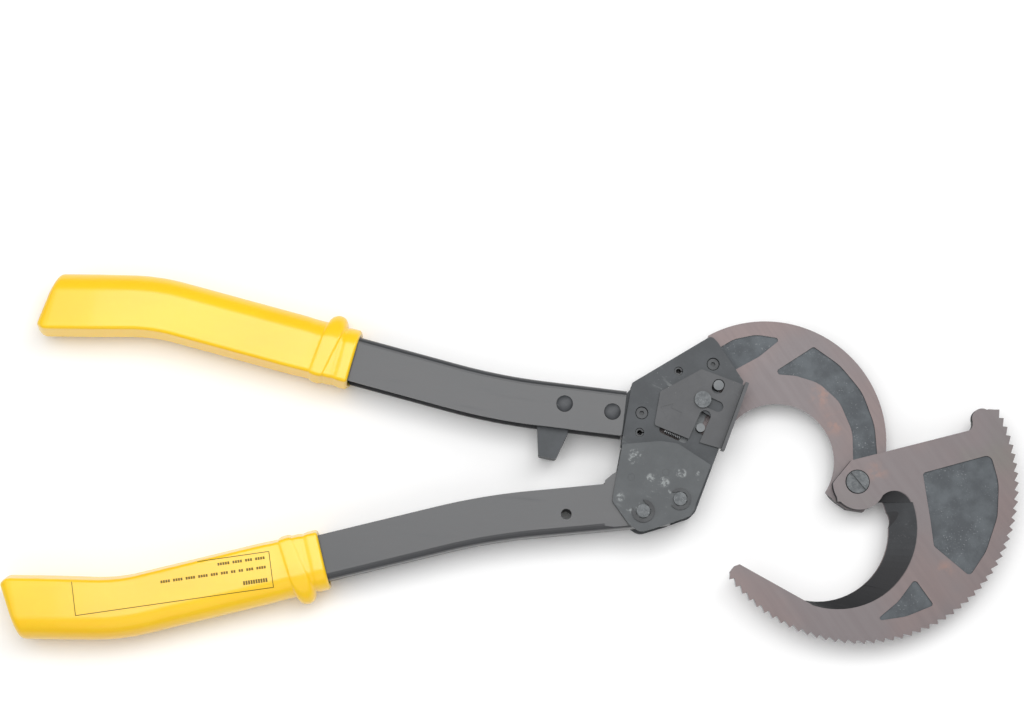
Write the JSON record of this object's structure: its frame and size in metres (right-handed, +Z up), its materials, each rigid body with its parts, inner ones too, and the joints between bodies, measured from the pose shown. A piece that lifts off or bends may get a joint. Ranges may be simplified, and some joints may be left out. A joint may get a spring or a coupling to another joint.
{
  "type": "ratchet cable cutter",
  "caption": "Two-handed ratchet cable cutter with hooked shear blades, a toothed moving jaw, a release slide and sleeved channel handles.",
  "frame": {"origin": "on the blade pivot's axis, at the end of the pivot bolt, in the plane that the tool rests on", "axes": "+X towards the jaws and away from the handles, +Y towards the upper handle and the fixed blade, +Z up from the rest plane, along the blade pivot"},
  "size_m": [0.6047, 0.2217, 0.0349],
  "materials": {
    "blade_steel": "ground steel with a brown oxide tint",
    "plate_phosphate": "dark blue-grey phosphate, satin",
    "cheek_phosphate": "dark phosphate with pale scuffs",
    "slide_phosphate": "grey phosphate, satin",
    "channel_black": "satin black paint",
    "grip_yellow": "glossy soft vinyl",
    "bright_pin": "oiled steel",
    "rivet_black": "painted steel",
    "fastener_dark": "black oxide",
    "pawl_steel": "hardened steel, dark",
    "spring_steel": "bare spring steel"
  },
  "bodies": {
    "head": {"fixed_blade": "blade_steel", "pivot_bolt": "bright_pin", "pivot_washer": "fastener_dark", "pivot_nut": "fastener_dark", "front_head_plate": "plate_phosphate", "back_head_plate": "plate_phosphate", "handle_tongue": "plate_phosphate", "nose_spacer": "plate_phosphate", "head_screws": "fastener_dark", "head_dowels": "fastener_dark", "upper_channel": "channel_black", "upper_grip": "grip_yellow", "tongue_rivets": "rivet_black", "tongue_spacers": "fastener_dark", "fulcrum_pin": "bright_pin", "fulcrum_clip": "fastener_dark", "guide_pin": "bright_pin", "release_spring": "spring_steel"},
    "moving_blade": {"moving_blade": "blade_steel"},
    "lower_handle": {"lower_channel": "channel_black", "lower_grip": "grip_yellow", "front_cheek_plate": "cheek_phosphate", "back_cheek_plate": "cheek_phosphate", "cheek_rivets": "cheek_phosphate"},
    "drive_pin": {"drive_pin": "bright_pin", "drive_pin_clip": "fastener_dark"},
    "drive_pawl": {"drive_pawl": "pawl_steel", "drive_pawl_spring": "spring_steel"},
    "holding_pawl": {"holding_pawl": "pawl_steel", "holding_pawl_spring": "spring_steel"},
    "release": {"release_slide": "slide_phosphate"}
  },
  "joints": [
    {"name": "blade_swing", "type": "hinge", "parent": "head", "child": "moving_blade", "pos_m": [0, 0, 0.019], "axis": [0, 0, -1], "range_deg": [0, 190.19]},
    {"name": "handle_squeeze", "type": "hinge", "parent": "head", "child": "lower_handle", "pos_m": [-0.1074, -0.0119, 0.016], "axis": [0, 0, -1], "range_deg": [0, 20]},
    {"name": "drive_pin_turn", "type": "hinge", "parent": "lower_handle", "child": "drive_pin", "pos_m": [-0.1294, -0.01926, 0.016], "axis": [0, 0, -1], "range_deg": [-18, 1]},
    {"name": "drive_pawl_lift", "type": "hinge", "parent": "drive_pin", "child": "drive_pawl", "pos_m": [-0.1294, -0.01926, 0.016], "axis": [0, 0, 1], "range_deg": [-3, 11]},
    {"name": "holding_pawl_lift", "type": "hinge", "parent": "head", "child": "holding_pawl", "pos_m": [-0.1074, -0.0119, 0.016], "axis": [0, 0, 1], "range_deg": [-3, 9]},
    {"name": "release_slide", "type": "slide", "parent": "head", "child": "release", "axis": [-0.9136, 0.4067, 0], "range_m": [-0.0019, 0.01]}
  ],
  "couplings": [
    {"joint": "drive_pin_turn", "follows": "handle_squeeze", "ratio": -0.815},
    {"joint": "drive_pawl_lift", "follows": "release_slide", "rad_per_m": 16.93},
    {"joint": "holding_pawl_lift", "follows": "release_slide", "rad_per_m": 13.68}
  ]
}
